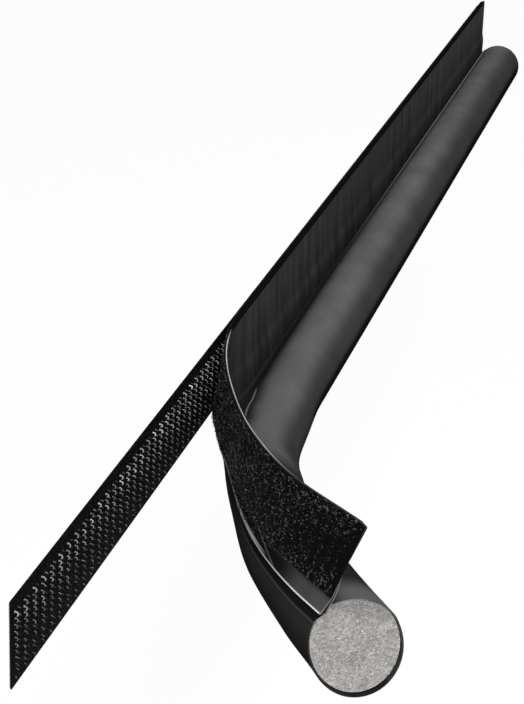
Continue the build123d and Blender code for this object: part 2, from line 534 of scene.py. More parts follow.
# %% Extrude the sheet along the strip
LENGTH_STEP = 4.0 * MM
MICRONS = 1e6
strip_length = far_end - cut_end
length_steps = round(strip_length / LENGTH_STEP)


def walk(mesh):
    """The vertices of an open line in order, from the tucked end."""
    beside = {}
    for edge in mesh.edges:
        a, b = edge.vertices
        beside.setdefault(a, []).append(b)
        beside.setdefault(b, []).append(a)
    start = [v for v, others in beside.items() if len(others) == 1]
    tucked = section(TUCK_N, TUCK_TOP)
    here = min(start, key=lambda v: (mesh.vertices[v].co - tucked).length)
    order, last = [], None
    while here is not None:
        order.append(here)
        onward = [v for v in beside[here] if v != last]
        last, here = here, onward[0] if onward else None
    return order


def on_line(p):
    """A point's place in the section, in whole microns, to find it again by."""
    return round(p[1] * MICRONS), round(p[2] * MICRONS)


order = walk(cover.data)
fold_points = np.array([cover.data.vertices[v].co for v in order])
cloth = np.append(0, np.cumsum(np.linalg.norm(np.diff(fold_points, axis=0), axis=1)))
cloth_width = cloth[-1]
place_on_cloth = {on_line(p): across for p, across in zip(fold_points, cloth)}

start_clean()
cover.select_set(True)
bpy.context.view_layer.objects.active = cover
bpy.ops.object.mode_set(mode="EDIT")
bpy.ops.mesh.select_all(action="SELECT")
run((-strip_length / length_steps, 0, 0), length_steps)
bpy.ops.mesh.select_all(action="SELECT")
bpy.ops.mesh.normals_make_consistent(inside=False)
bpy.ops.object.mode_set(mode="OBJECT")
print("cloth %.0f mm wide, %d faces" % (cloth_width / MM, len(cover.data.polygons)))


def cloth_at(toward_door, up):
    """Where the fold line's nearest point lies across the cloth."""
    gap = np.hypot(
        fold_points[:, 1] - (toward_door - ROLL_OUT), fold_points[:, 2] - (up - ROLL_DROP)
    )
    return float(cloth[np.argmin(gap)])


def roll_at(degrees):
    """The same for an angle round the roll: 0 faces the door, 90 is the top."""
    angle = math.radians(degrees)
    return cloth_at(MID * math.cos(angle), MID * math.sin(angle))


CREASE_PLACE = cloth_at(FRONT_N, crease_w)
FOLD_PLACE = float(cloth[np.argmax(fold_points[:, 2])])
LAP_PLACE = float(cloth_width)
WELT_PLACE = (cloth_at(*web_from) + cloth_at(*web_to)) / 2
print("crease %.0f, fold %.0f mm across the cloth" % (CREASE_PLACE / MM, FOLD_PLACE / MM))

# %% [markdown]
# Cloth is never quite flat. The front of the flap gets shallow upright wrinkles, deepest
# half way up, where nothing holds it. Two noises do this, a broad and a fine one, and
# they only push outward, so that no layer runs into the next one.

# %% Wrinkle the flap
WRINKLE = 0.55 * MM
WRINKLE_BROAD = (21 * MM, 90 * MM, 3.1)
WRINKLE_FINE = (7.5 * MM, 50 * MM, 8.7)
WRINKLE_LEVEL = 0.25
FINE_SHARE = 0.45
CREASE_TOP = crease_w + 1.0 * MM

points = np.array([v.co for v in cover.data.vertices])
across = np.array([place_on_cloth[on_line(p)] for p in points])


def wrinkle(x, up):
    """Outward push of the flap's front at a place along the strip and up the flap."""
    free = (up - CREASE_TOP) / (FLAP_TOP - 2 * SHEET - CREASE_TOP)
    if not 0 < free < 1:
        return 0.0
    broad, fine = (
        noise.noise(Vector((x / along, up / upright, layer)))
        for along, upright, layer in (WRINKLE_BROAD, WRINKLE_FINE)
    )
    height = max(0.0, WRINKLE_LEVEL + broad + FINE_SHARE * fine)
    return WRINKLE * height * math.sin(math.pi * free) ** 0.8


for i, p in enumerate(points):
    if CREASE_PLACE < across[i] < FOLD_PLACE:
        p[1] -= wrinkle(p[0], p[2] + ROLL_DROP)
print("wrinkles up to %.1f mm deep" % (WRINKLE / MM))

# %% [markdown]
# The coated cloth isn't one even grey. Along the top of the roll it is pale, a painted
# highlight where the light falls on it, and it is dark where it dips into the seam and
# where it turns under, which is painted shade. One grey for all of it would look like
# plastic pipe. Each vertex therefore gets its own grey, read from a short table of places
# across the cloth, and the material picks it up as an attribute. The table was set by
# comparing renders with the photograph, so beside the cloth's own dark grey it holds the
# light and shade that is seen there, painted in.
#
# Along the strip the painted light and shade don't stay put. They are moved sideways
# across the cloth, most where the strip begins to turn and the roll meets the light at
# another angle. `slid` is the place across the cloth after that shift.

# %% Greys across the cloth
# Pale greys on the top of the roll are painted highlight; dark greys at the welt, the seam and
# the underside are painted shade.
GREY_LIGHT_AND_SHADE_ACROSS = [
    (0.0, 0.011), (roll_at(18), 0.011), (roll_at(12), 0.024),
    (roll_at(-30), 0.022), (roll_at(-90), 0.016), (roll_at(200), 0.010), (roll_at(177), 0.008),
    (roll_at(168), 0.034), (roll_at(160), 0.037), (roll_at(150), 0.035), (roll_at(140), 0.037),
    (roll_at(130), 0.048), (roll_at(120), 0.076), (roll_at(110), 0.087), (roll_at(100), 0.090),
    (roll_at(90), 0.087), (roll_at(80), 0.088), (roll_at(70), 0.078), (roll_at(60), 0.053),
    (WELT_PLACE - 1.5 * MM, 0.012), (WELT_PLACE + 1.5 * MM, 0.010),
    (CREASE_PLACE + 1.0 * MM, 0.017), (cloth_at(FRONT_N, STEP_START), 0.023),
    (cloth_at(TUCK_N, 38 * MM), 0.031), (cloth_at(TUCK_N, 52 * MM), 0.038), (FOLD_PLACE, 0.035),
    (LAP_PLACE, 0.036),
]
SLIDE_AT = (-540, -392, -192, -92, -32, 10, 30, 50, 70, 90)
SLIDE = (-4.5, -2.5, 0.0, 1.3, 2.9, 5.5, 11.5, 12.0, 2.0, 0.0)
SLIDE_ACROSS = (roll_at(175), roll_at(130), roll_at(90), WELT_PLACE, cloth_at(TUCK_N, 50 * MM))
SLIDE_SHARE = (0.2, 0.65, 1.0, 1.0, 0.0)
WELT_HOLDS = (WELT_PLACE - 7 * MM, WELT_PLACE - 1 * MM)

peeled_mm = (PEEL_FROM - points[:, 0]) / MM
slide = np.interp(peeled_mm, SLIDE_AT, SLIDE) * MM
sliding = np.interp(across, SLIDE_ACROSS, SLIDE_SHARE)
before_welt = np.interp(across, WELT_HOLDS, (1, 0))
slid = across + np.where(slide > 0, slide * sliding, slide * sliding * before_welt)
grey_light_and_shade = np.interp(slid, *zip(*GREY_LIGHT_AND_SHADE_ACROSS))
print("greys from %.3f to %.3f" % (grey_light_and_shade.min(), grey_light_and_shade.max()))

# %% [markdown]
# Four places keep greys of their own. The roll gets a painted shadow where the peeled flap
# hangs over it. On its outer side, where the strip turns, the painted dark greys of the
# underside are lifted to an even grey. The front of the flap is paler toward the far end.
# And the strip of the back ply below the loop tape is bare cloth, pale near the cut. The
# places along the strip are in millimetres past the start of the peel.

# %% Greys along the strip
FLAP_SHADOW_AT = (62, 78, 92, 150, 175, 187, 196)
FLAP_SHADOW = (0.2, 0.075, 0.025, 0.025, 0.015, 0.016, 0.085)
BARE_AT = (100, 150, 171, 184, 205)
BARE = (0.004, 0.008, 0.014, 0.070, 0.085)
BARE_WIDTH = 9.5 * MM
BARE_FADE = 2.0 * MM
PEELED_SIDE = 0.029
SIDE_STARTS, SIDE_ENDS = roll_at(225), roll_at(150)
SIDE_FADE = 3.0 * MM
SIDE_FROM_PEEL = 12.0
FAR_FLAP_X = (0.10, 0.35)
FAR_FLAP_GAIN = (1.0, 1.35)

on_roll = (across > SIDE_STARTS) & (across < CREASE_PLACE)
# Painted shadow of the peeled flap on the roll.
grey_light_and_shade[on_roll] = np.minimum(grey_light_and_shade, np.interp(peeled_mm, FLAP_SHADOW_AT, FLAP_SHADOW))[on_roll]
# Where the strip turns, the roll's outer side is lifted from the painted dark underside greys.
side = np.clip((across - SIDE_STARTS) / SIDE_FADE, 0, 1)
side = side * np.clip((SIDE_ENDS - across) / SIDE_FADE, 0, 1)
side = side * np.clip(peeled_mm / SIDE_FROM_PEEL, 0, 1)
grey_light_and_shade = np.maximum(grey_light_and_shade, PEELED_SIDE * side)
flap_front = (across > CREASE_PLACE) & (across < FOLD_PLACE)
grey_light_and_shade[flap_front] *= np.interp(points[flap_front, 0], FAR_FLAP_X, FAR_FLAP_GAIN)
bare = np.clip((across - LAP_PLACE + BARE_WIDTH) / BARE_FADE, 0, 1) * (peeled_mm > 0)
grey_light_and_shade = grey_light_and_shade * (1 - bare) + np.interp(peeled_mm, BARE_AT, BARE) * bare
print("greys now from %.3f to %.3f" % (grey_light_and_shade.min(), grey_light_and_shade.max()))

# %% [markdown]
# Now the near end is stretched to the slanting cut, the greys are stored on the vertices
# and the two cloth lengths on the UV map. The sheet gets its thickness last, half to
# each side of the line, so no fold grows fatter inside than outside.

# %% Cut and thicken the cover
CUT_ZONE = 60.0 * MM


def slant_ends(points, wandering=1.0):
    """Stretches the last part of the straight strip to the slanting cut."""
    zone_start = cut_end + CUT_ZONE
    for p in points:
        if p[0] < zone_start:
            share = (zone_start - p[0]) / CUT_ZONE
            p[0] -= share * cut_past(p[1] + ROLL_OUT, p[2] + ROLL_DROP, wandering)


uv = cover.data.uv_layers.new(name="cloth")
for name, values in (("from_cut", points[:, 0] - cut_end), ("grey_light_and_shade", grey_light_and_shade), ("slid", slid)):
    cover.data.attributes.new(name, "FLOAT", "POINT").data.foreach_set("value", values)
slant_ends(points)
cover.data.vertices.foreach_set("co", points.ravel())
corner = np.empty(len(cover.data.loops), dtype=int)
cover.data.loops.foreach_get("vertex_index", corner)
uv.data.foreach_set("uv", np.column_stack((points[corner, 0], across[corner])).ravel())
cover.data.update()

finish_modifier(
    cover, "SOLIDIFY", thickness=SHEET, offset=0, use_even_offset=True, use_quality_normals=True,
)
bpy.ops.object.shade_smooth_by_angle(angle=math.radians(50))
print("cover:", len(cover.data.polygons), "faces")

# %% [markdown]
# ## How a peeled strip gives
#
# The real strip doesn't turn like a steel tube. It gives in small ways, and each one is a
# short function of where a point lies: `n` toward the door, `w` up from the roll's centre,
# and how far past the start of the peel it is. The same functions run on the cover, the
# foam and the loop tape, so the pieces stay together.
#
# First the flap. Its plies close up where the door no longer holds them apart, its foot
# swings out where the peel begins, and its free edge droops toward the cut.

# %% The flap gives
THIN_ALONG = (5.0 * MM, 45.0 * MM)
THIN_UP = (LAP_EDGE - 3 * MM, LAP_EDGE + 9 * MM)
THIN_TO_DOOR = (13.0 * MM, 15.5 * MM)
THINNED = 0.42
THIN_AT_CUT = 0.22
THIN_CUT_ZONE = 90.0 * MM
SWING = 6.5 * MM
SWING_FROM = 5.0 * MM
SWING_LENGTH = 84.0 * MM
SWING_W = (-19.0, 0.0, 10.0, 20.0, 30.0, 55.0)
SWING_SHARE = (0.0, 0.1, 0.7, 1.0, 0.8, 0.0)
DROOP = 1.6 * MM
DROOP_FROM = 140.0 * MM
DROOP_ROOT = 20.0 * MM
PAST_CUT = 1.1


def rise(value, start, end):
    """A smooth step from 0 at start to 1 at end."""
    share = np.clip((value - start) / (end - start), 0, 1)
    return share * share * (3 - 2 * share)


def closed_up(n, w, peeled):
    """Where a point lies toward the door once the flap's plies have closed up."""
    thin = rise(peeled, *THIN_ALONG) * rise(w, *THIN_UP) * rise(n, *THIN_TO_DOOR)
    near_cut = rise(peeled, PEEL_LENGTH - THIN_CUT_ZONE, PEEL_LENGTH)
    kept = THINNED + (THIN_AT_CUT - THINNED) * near_cut
    return n - thin * (1 - kept) * (np.minimum(n, LOOP_FROM + LOOP_GROUND) - ROLL_RADIUS)


def swung_out(w, peeled):
    wave = np.sin(np.pi * np.clip((peeled - SWING_FROM) / SWING_LENGTH, 0, 1)) ** 2
    return SWING * wave * np.interp(w / MM, SWING_W, SWING_SHARE)


def drooped(w, peeled):
    along = np.clip((peeled - DROOP_FROM) / (PEEL_LENGTH - DROOP_FROM), 0, PAST_CUT)
    return DROOP * along * np.clip((w - DROOP_ROOT) / (FLAP_TOP - DROOP_ROOT), 0, 1)


print("foot swings %.1f mm, edge droops %.1f mm" % (SWING / MM, DROOP / MM))

# %% [markdown]
# Then the roll. Foam that is freed from the door swells toward its cut end, bellies out
# on the side of the door where the flap no longer presses on it, and is pinched on the
# outer side just past the start of the turn.

# %% The roll gives
SWELL = 1.6 * MM
SWELL_SHIFT = 0.7 * MM
SWELL_ZONE = 70.0 * MM
SWELL_REACH = 45.0 * MM
SWELL_PAST_CUT = 1.15
BELLY = 2.9 * MM
BELLY_RISES = (95.0 * MM, 145.0 * MM)
BELLY_FALLS = (183.0 * MM, 211.0 * MM)
BELLY_LEFT = 0.15
BELLY_W = (-19.0, -8.0, 0.0, 8.0, 12.0, 20.0, 30.0)
BELLY_SHARE = (0.8, 1.0, 1.0, 0.65, 0.4, 0.1, 0.0)
PINCH = 2.6 * MM
PINCH_AT = 24.0 * MM
PINCH_REACH = 42.0 * MM
TINY = 0.1 * MM


def swollen(n, w, peeled):
    """How far a point moves out and up as the cut end swells."""
    free = np.clip((peeled - (PEEL_LENGTH - SWELL_ZONE)) / SWELL_ZONE, 0, SWELL_PAST_CUT)
    radius = np.maximum(np.hypot(n, w), TINY)
    near_roll = np.clip((SWELL_REACH - radius) / (SWELL_REACH - ROLL_RADIUS), 0, 1)
    amount = free**2 * near_roll * np.minimum(radius / ROLL_RADIUS, 1)
    shift = free**2 * near_roll * SWELL_SHIFT
    return amount * SWELL * n / radius + shift, amount * SWELL * w / radius


def bellied(n, w, peeled):
    along = rise(peeled, *BELLY_RISES) * (1 - (1 - BELLY_LEFT) * rise(peeled, *BELLY_FALLS))
    door_side = np.clip((n + ROLL_RADIUS) / (2 * ROLL_RADIUS), 0, 1)
    return BELLY * along * np.interp(w / MM, BELLY_W, BELLY_SHARE) * door_side


def pinched(n, peeled):
    wave = np.cos(np.pi / 2 * np.clip((peeled - PINCH_AT) / PINCH_REACH, -1, 1)) ** 2
    return PINCH * wave * np.clip(-n / ROLL_RADIUS, 0, 1)


def settle(points):
    """All the small ways together, on straight-strip points."""
    n, w = points[:, 1] + ROLL_OUT, points[:, 2] + ROLL_DROP
    peeled = PEEL_FROM - points[:, 0]
    n = closed_up(n, w, peeled)
    out, up = swollen(n, w, peeled)
    out = out + swung_out(w, peeled) + bellied(n, w, peeled) - pinched(n, peeled)
    points[:, 1] = n - ROLL_OUT + out
    points[:, 2] = w - ROLL_DROP + up - drooped(w, peeled)


print("cut end swells %.1f mm, roll bellies %.1f mm" % (SWELL / MM, BELLY / MM))

# %% [markdown]
# The changes run while the strip is still straight, because up and toward the door are
# simple there. Only then is the piece carried round the peel.

# %% Peel the cover
def shape_points(obj, *changes):
    """Runs each change on all straight-strip points of obj, then peels it."""
    moved = np.array([v.co for v in obj.data.vertices])
    for change in changes:
        change(moved)
    obj.data.vertices.foreach_set("co", moved.ravel())
    peel_mesh(obj)


shape_points(cover, settle)
print("cover reaches x %.3f m" % min(v.co.x for v in cover.data.vertices))

# %% [markdown]
# ## The foam roll
#
# The roll is a cylinder that follows the strip. It is drawn as a circle, run along
# the strip by extrusion, and closed by rings that shrink to the middle. The rings make
# the two cut faces fine enough to press open cells into them.

# %% Foam
FOAM_RADIUS = 17.7 * MM
FOAM_SIDES = 112
FOAM_STEPS = 170
FACE_RINGS = 60
TOUCH = 1e-6

start_clean()
bpy.ops.mesh.primitive_circle_add(
    vertices=FOAM_SIDES, radius=FOAM_RADIUS, fill_type="NOTHING",
    rotation=(0, math.pi / 2, 0), location=(far_end, CENTRE.y, CENTRE.z),
)
foam = bpy.context.object
foam.name = "foam_roll"
bpy.ops.object.transform_apply(location=True, rotation=True, scale=True)
bpy.ops.object.mode_set(mode="EDIT")
bpy.ops.mesh.select_all(action="SELECT")
run((-strip_length / FOAM_STEPS, 0, 0), FOAM_STEPS)


def close_with_rings(x):
    """Shrinks the selected end circle ring by ring, and closes it at the middle."""
    for ring in range(FACE_RINGS, 0, -1):
        if ring == 1:
            bpy.ops.mesh.extrude_region_move()
            bpy.ops.mesh.merge(type="CENTER")
        else:
            bpy.ops.mesh.extrude_region_move()
            size = (ring - 1) / ring
            bpy.ops.transform.resize(
                value=(1, size, size), center_override=(x, CENTRE.y, CENTRE.z)
            )


close_with_rings(cut_end)
bpy.ops.mesh.select_all(action="DESELECT")
bpy.ops.object.mode_set(mode="OBJECT")
for v in foam.data.vertices:
    v.select = abs(v.co.x - far_end) < TOUCH
bpy.ops.object.mode_set(mode="EDIT")
bpy.ops.mesh.select_mode(type="EDGE")
bpy.ops.object.mode_set(mode="OBJECT")
for e in foam.data.edges:
    e.select = all(abs(foam.data.vertices[v].co.x - far_end) < TOUCH for v in e.vertices)
bpy.ops.object.mode_set(mode="EDIT")
close_with_rings(far_end)
bpy.ops.mesh.select_mode(type="VERT")
bpy.ops.mesh.select_all(action="SELECT")
bpy.ops.mesh.normals_make_consistent(inside=False)
bpy.ops.object.mode_set(mode="OBJECT")
print("foam:", len(foam.data.polygons), "faces")

# %% [markdown]
# Cut foam shows half cells: rounded hollows with sharp walls between. A cell pattern
# gives the distance to the nearest cell's middle and to the next one. Where the two are
# far apart the face is pushed in, and where they are alike a wall is left standing.

# %% Open the cells
CELL = 1.15 * MM
CELL_DEPTH = 0.42 * MM
CELL_WALL = 0.45
CELL_EVEN = 0.65
CELL_UNEVEN = 0.5
CELL_RIPPLE = 0.9 * MM
UNCUT_RIM = 0.8 * MM


def cell_depth(place):
    near, second = noise.voronoi(place / CELL)[0][:2]
    wall = min(1.0, (second - near) / CELL_WALL)
    ripple = noise.noise(place / CELL_RIPPLE)
    return CELL_DEPTH * wall * (CELL_EVEN + CELL_UNEVEN * ripple)


foam_points = np.array([v.co for v in foam.data.vertices])
depths = np.zeros(len(foam_points))
for i, p in enumerate(foam_points):
    offset = Vector(p) - CENTRE
    inside = FOAM_RADIUS - math.hypot(offset.y, offset.z)
    rim = min(1.0, max(0.0, inside / UNCUT_RIM))
    if abs(p[0] - far_end) < TOUCH:
        depths[i] = -cell_depth(Vector(p)) * rim
    elif abs(p[0] - cut_end) < TOUCH:
        depths[i] = cell_depth(Vector(p)) * rim
print("cells up to %.2f mm deep" % (abs(depths).max() / MM))

# %% [markdown]
# A blade presses soft foam before it cuts it. The cut face then springs back: it stands
# out a little toward one side and is slightly wider than the roll behind it.

# %% Slant the cut, round its lip and peel the foam
FOAM_LIP = 0.9 * MM
LIP_SPREAD = 1.2 * MM
LIP_EVEN = 0.25
LIP_SIDE = math.radians(50)

near_face = np.abs(foam_points[:, 0] - cut_end) < TOUCH
slant_ends(foam_points, wandering=0.0)
settle(foam_points)
foam_points[:, 0] += depths
lip = (foam_points[near_face] - np.array(CENTRE)) / ROLL_RADIUS
toward_side = lip[:, 1] * math.cos(LIP_SIDE) + lip[:, 2] * math.sin(LIP_SIDE)
foam_points[near_face, 0] -= FOAM_LIP * toward_side
spread = LIP_SPREAD * (LIP_EVEN + (1 - LIP_EVEN) * toward_side)
foam_points[near_face, 1] += lip[:, 1] * spread
foam_points[near_face, 2] += lip[:, 2] * spread
foam.data.vertices.foreach_set("co", foam_points.ravel())
start_clean()
foam.select_set(True)
bpy.context.view_layer.objects.active = foam
bpy.ops.object.shade_smooth_by_angle(angle=math.radians(60))
peel_mesh(foam)
print("cut face has", int(near_face.sum()), "points")

# %% [markdown]
# ## The loop tape
#
# The back of the flap carries a knitted tape of soft loops. Its ground is a thin band
# with rounded edges. It starts as a cube at the band's size, its long edges are bevelled,
# and it is cut across at even steps, so that it can follow the peel.

# %% Loop tape ground
LOOP_WIDTH = 38.0 * MM
LOOP_TOP = FLAP_TOP - 0.7 * MM
LOOP_BOTTOM = LOOP_TOP - LOOP_WIDTH


def band(name, from_n, to_n, low, high, start, end, steps, edge=0.25 * MM):
    """A flat band along the strip with bevelled long edges."""
    start_clean()
    bpy.ops.mesh.primitive_cube_add(size=1)
    obj = bpy.context.object
    obj.name = name
    bpy.ops.object.mode_set(mode="EDIT")
    bpy.ops.mesh.select_all(action="SELECT")
    bpy.ops.transform.resize(value=(start - end, to_n - from_n, high - low))
    bpy.ops.transform.translate(value=(
        (start + end) / 2, (from_n + to_n) / 2 - ROLL_OUT, (low + high) / 2 - ROLL_DROP
    ))
    bpy.ops.mesh.select_all(action="DESELECT")
    bpy.ops.mesh.select_mode(type="EDGE")
    bpy.ops.object.mode_set(mode="OBJECT")
    for e in obj.data.edges:
        a, b = (obj.data.vertices[v].co for v in e.vertices)
        e.select = abs(a.x - b.x) > MM
    bpy.ops.object.mode_set(mode="EDIT")
    bpy.ops.mesh.bevel(offset=edge, segments=3, affect="EDGES")
    bpy.ops.mesh.select_all(action="SELECT")
    for k in range(1, steps):
        bpy.ops.mesh.select_all(action="SELECT")
        x = start + (end - start) * k / steps
        bpy.ops.mesh.bisect(plane_co=(x, 0, 0), plane_no=(1, 0, 0))
    bpy.ops.mesh.select_all(action="SELECT")
    bpy.ops.mesh.normals_make_consistent(inside=False)
    bpy.ops.object.mode_set(mode="OBJECT")
    bpy.ops.object.shade_smooth_by_angle(angle=math.radians(40))
    return obj


loops = band(
    "loop_tape_pile", LOOP_FROM, LOOP_FROM + LOOP_GROUND, LOOP_BOTTOM, LOOP_TOP,
    far_end, cut_end, 150,
)
print("loop ground:", len(loops.data.polygons), "faces")

# %% [markdown]
# Loops and hooks are both small bent pegs, so two helpers serve both. One bends a peg
# out of a circle by extruding, scaling and turning it step by step. The other fills one
# mesh with turned copies of the peg and gives each copy a shade of its own. A particle
# system could place them too, but would have to be made real before the export.

# %% Bent pegs and their copies
def bent_peg(name, thick, path, sides=4):
    """A peg that follows path: rows of (way, up, turn in degrees, size against thick)."""
    start_clean()
    bpy.ops.mesh.primitive_circle_add(vertices=sides, radius=thick / 2, fill_type="NOTHING")
    obj = bpy.context.object
    obj.name = name
    bpy.ops.object.mode_set(mode="EDIT")
    bpy.ops.mesh.select_all(action="SELECT")
    centre, lean, size = Vector((0, 0, 0)), 0, 1
    for way, up, degrees, new_size in path:
        step = Vector((way, 0, up)) - centre
        run(tuple(step), 1)
        centre += step
        grow = new_size / size
        bpy.ops.transform.resize(value=(grow,) * 3, center_override=centre)
        bpy.ops.transform.rotate(
            value=-math.radians(degrees - lean), orient_axis="Y", center_override=centre
        )
        lean, size = degrees, new_size
    bpy.ops.mesh.edge_face_add()
    bpy.ops.mesh.select_all(action="SELECT")
    bpy.ops.mesh.normals_make_consistent(inside=False)
    bpy.ops.object.mode_set(mode="OBJECT")
    return obj


def copies(obj, turns, places, shades):
    """Replaces obj's mesh by turned copies of it at the places, each with its own shade."""
    points = np.array([v.co for v in obj.data.vertices])
    faces = [tuple(f.vertices) for f in obj.data.polygons]
    every = np.einsum("nij,kj->nki", turns, points) + places[:, None, :]
    count = len(points)
    mesh = bpy.data.meshes.new(obj.name)
    mesh.from_pydata(
        every.reshape(-1, 3), [],
        [tuple(v + k * count for v in f) for k in range(len(places)) for f in faces],
    )
    mesh.attributes.new("shade", "FLOAT", "POINT").data.foreach_set(
        "value", np.repeat(shades, count)
    )
    obj.data = mesh
    for f in mesh.polygons:
        f.use_smooth = True


# %% [markdown]
# A loop leaves the ground, arches over and comes back down a little to one side. The
# loops stand on the side of the tape that faces the door, so their own up is turned
# to point there. They are left out where the tape is pressed onto the hooks. Toward the
# cut they have been rubbed down over the bare back ply below the tape, so the lower
# border of the pile drops there, and those loops stand on the ply.

# %% Loops
LOOP_COUNT = 9900
LOOP_THREAD = 0.21 * MM
LOOP_PATH = [
    (0.08 * MM, 0.45 * MM, 25, 1.0),
    (0.52 * MM, 0.60 * MM, 95, 1.0),
    (0.98 * MM, 0.20 * MM, 155, 0.8),
]
SPREAD_AT = (120, 136, 160, 175)
SPREAD_TO = (11.5, 13.8, 17.8, 20.6)
LOOP_TILT = 0.55
LOOP_SIZES = (0.7, 1.2)
ROOT = 0.05 * MM
dice = random.Random(11)
loop_from = PEEL_FROM + 12 * MM
loop_end = cut_end + 0.5 * MM
curls = bent_peg("loop_tape_curls", LOOP_THREAD, LOOP_PATH, sides=3)
to_door = np.array(((1, 0, 0), (0, 0, 1), (0, -1, 0)))
turns, places, shades = [], [], []
for k in range(LOOP_COUNT):
    x = loop_end + (loop_from - loop_end) * dice.random()
    lowest = np.interp((PEEL_FROM - x) / MM, SPREAD_AT, SPREAD_TO) * MM
    up = lowest + (LOOP_TOP - 0.3 * MM - lowest) * dice.random()
    stands_on = LOOP_FROM + LOOP_GROUND if up > LOOP_BOTTOM + 0.2 * MM else ROLL_RADIUS
    spin = Matrix.Rotation(dice.uniform(0, 2 * math.pi), 3, "Z")
    tilt = Matrix.Rotation(dice.gauss(0, LOOP_TILT), 3, "X")
    turns.append(to_door @ np.array(spin @ tilt) * dice.uniform(*LOOP_SIZES))
    places.append((x, stands_on - ROOT - ROLL_OUT, up - ROLL_DROP))
    shades.append(dice.random())
copies(curls, np.array(turns), np.array(places), np.array(shades))
print("loops:", len(curls.data.polygons), "faces")

# %% [markdown]
# Ground and loops are now stretched to the slanting cut, and they give and peel by the
# same functions as the cover, so they stay on it.

# %% Peel the loop tape
for piece in (loops, curls):
    shape_points(piece, slant_ends, settle)
print("loop tape peeled")

# %% [markdown]
# ## The hook tape
#
# The hook tape is a moulded band with plain edges and rows of small hooks between, and a
# film of adhesive holds it to the door. Band and film are made like the loop tape's
# ground, at the places of their solids. Their near end was cut a little aslant, so those
# end points are moved along the strip by their height.

# %% Hook tape band and adhesive
HOOK_BASE = 0.7 * MM
BAND_STEPS = 24
TAPE_SLANT = 0.16

tape_low, tape_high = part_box("hook_tape")
tape_front = tape_high[1] - HOOK_BASE
film_low, film_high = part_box("adhesive_layer")


def door_band(name, front, back, low, high, edge):
    """A band on the door, between two depths and two heights of the frame."""
    obj = band(
        name, front + ROLL_OUT, back + ROLL_OUT, low + ROLL_DROP, high + ROLL_DROP,
        far_end, tape_low[0], BAND_STEPS, edge=edge,
    )
    for v in obj.data.vertices:
        if v.co.x < tape_low[0] + MM:
            v.co.x += TAPE_SLANT * v.co.z
    return obj


hooks = door_band(
    "hook_tape_base", tape_front, tape_high[1], tape_low[2], tape_high[2], 0.2 * MM
)
film = door_band(
    "adhesive_film", film_low[1], film_high[1], film_low[2], film_high[2], 0.05 * MM
)
print("hook tape %.0f mm long" % ((far_end - tape_low[0]) / MM))

# %% [markdown]
# One hook is a peg that rises, bends over and ends in a fine tip, and beside it stands a
# smaller stub. Each is modelled once and copied in rows and columns. The top row catches
# the light and hides and shades part of the rows below, so the hooks get smaller, less
# even and, as painted shade, darker from row to row downward, and a little duller toward
# the near end.

# %% Hooks
HOOK_ROWS = 11
ROW_SHIFT = -1.2 * MM
ROW_PITCH = 2.8 * MM
ALONG_PITCH = 7.6 * MM
HOOK_THICK = 1.15 * MM
STUB_THICK = 0.9 * MM
DULL_SHARE = 0.66
DULL_REACH = 190 * MM
BOLDNESS = 1.4
PEG_SIZES = (0.85, 1.05)
PEG_SHADES = (0.15, 1.0)
UP_STRAY = 0.6
# Each pair is for the lowest and the top row: turns and places that stray, size, shade.
ROW_WOBBLE = (3.2, 1.0)
ROW_STRAY = (0.45 * MM, 0.10 * MM)
ROW_SIZE = (0.60, 1.02)
# Painted shade: the lower rows get darker greys than the top row.
ROW_SHADE = (0.32, 1.07)
HOOK_PATH = [
    (0.00 * MM, 0.55 * MM, 0, 0.66),
    (0.05 * MM, 1.05 * MM, 15, 0.60),
    (0.40 * MM, 1.50 * MM, 55, 0.66),
    (1.00 * MM, 1.58 * MM, 100, 0.70),
    (1.60 * MM, 1.15 * MM, 145, 0.42),
]
STUB_PATH = [
    (0.00 * MM, 0.50 * MM, 0, 0.7),
    (0.12 * MM, 1.00 * MM, 20, 0.75),
    (0.40 * MM, 1.25 * MM, 60, 0.5),
]
from_door = np.array(((1, 0, 0), (0, 0, -1), (0, 1, 0)))


def hook_field(name, thick, path, lead, spin, spread):
    """A field of pegs on the hook tape; lead shifts it along, spin turns every peg."""
    pegs = bent_peg(name, thick, path)
    turns, places, shades = [], [], []
    along_count = int((far_end - tape_low[0] - 3 * MM) / ALONG_PITCH)
    for row in range(HOOK_ROWS):
        up = ROW_SHIFT + (row - (HOOK_ROWS - 1) / 2) * ROW_PITCH
        bold = (row / (HOOK_ROWS - 1)) ** BOLDNESS
        wobble, stray, size, light = (
            low + (top - low) * bold for low, top in (ROW_WOBBLE, ROW_STRAY, ROW_SIZE, ROW_SHADE)
        )
        for k in range(along_count):
            x = tape_low[0] + lead + k * ALONG_PITCH + TAPE_SLANT * up
            lie = spin + dice.gauss(0, spread * wobble)
            turned = Matrix.Rotation(math.radians(lie), 3, "Z")
            turns.append(from_door @ np.array(turned) * size * dice.uniform(*PEG_SIZES))
            along = x + dice.gauss(0, stray)
            height = up + dice.gauss(0, UP_STRAY * stray)
            places.append((along, tape_front + ROOT, height))
            farther = min(1.0, (x - tape_low[0]) / DULL_REACH)
            shade = min(1.0, dice.uniform(*PEG_SHADES) * light)
            shades.append(shade * (DULL_SHARE + (1 - DULL_SHARE) * farther))
    copies(pegs, np.array(turns), np.array(places), np.array(shades))
    print(name, len(places), "pegs,", len(pegs.data.polygons), "faces")
    return pegs


pegs = hook_field("hook_tape_hooks", HOOK_THICK, HOOK_PATH, 3.2 * MM, 235, 14)
stubs = hook_field("hook_tape_stubs", STUB_THICK, STUB_PATH, 5.9 * MM, 215, 30)

# %% [markdown]
# ## Materials
#
# Three small helpers come first: a mask for a band, the product of two shares, and one
# colour laid over another. With them a fine line on the cloth is one mask and one blend.

# %% Masks and blends
def is_socket(value):
    return hasattr(value, "is_linked")


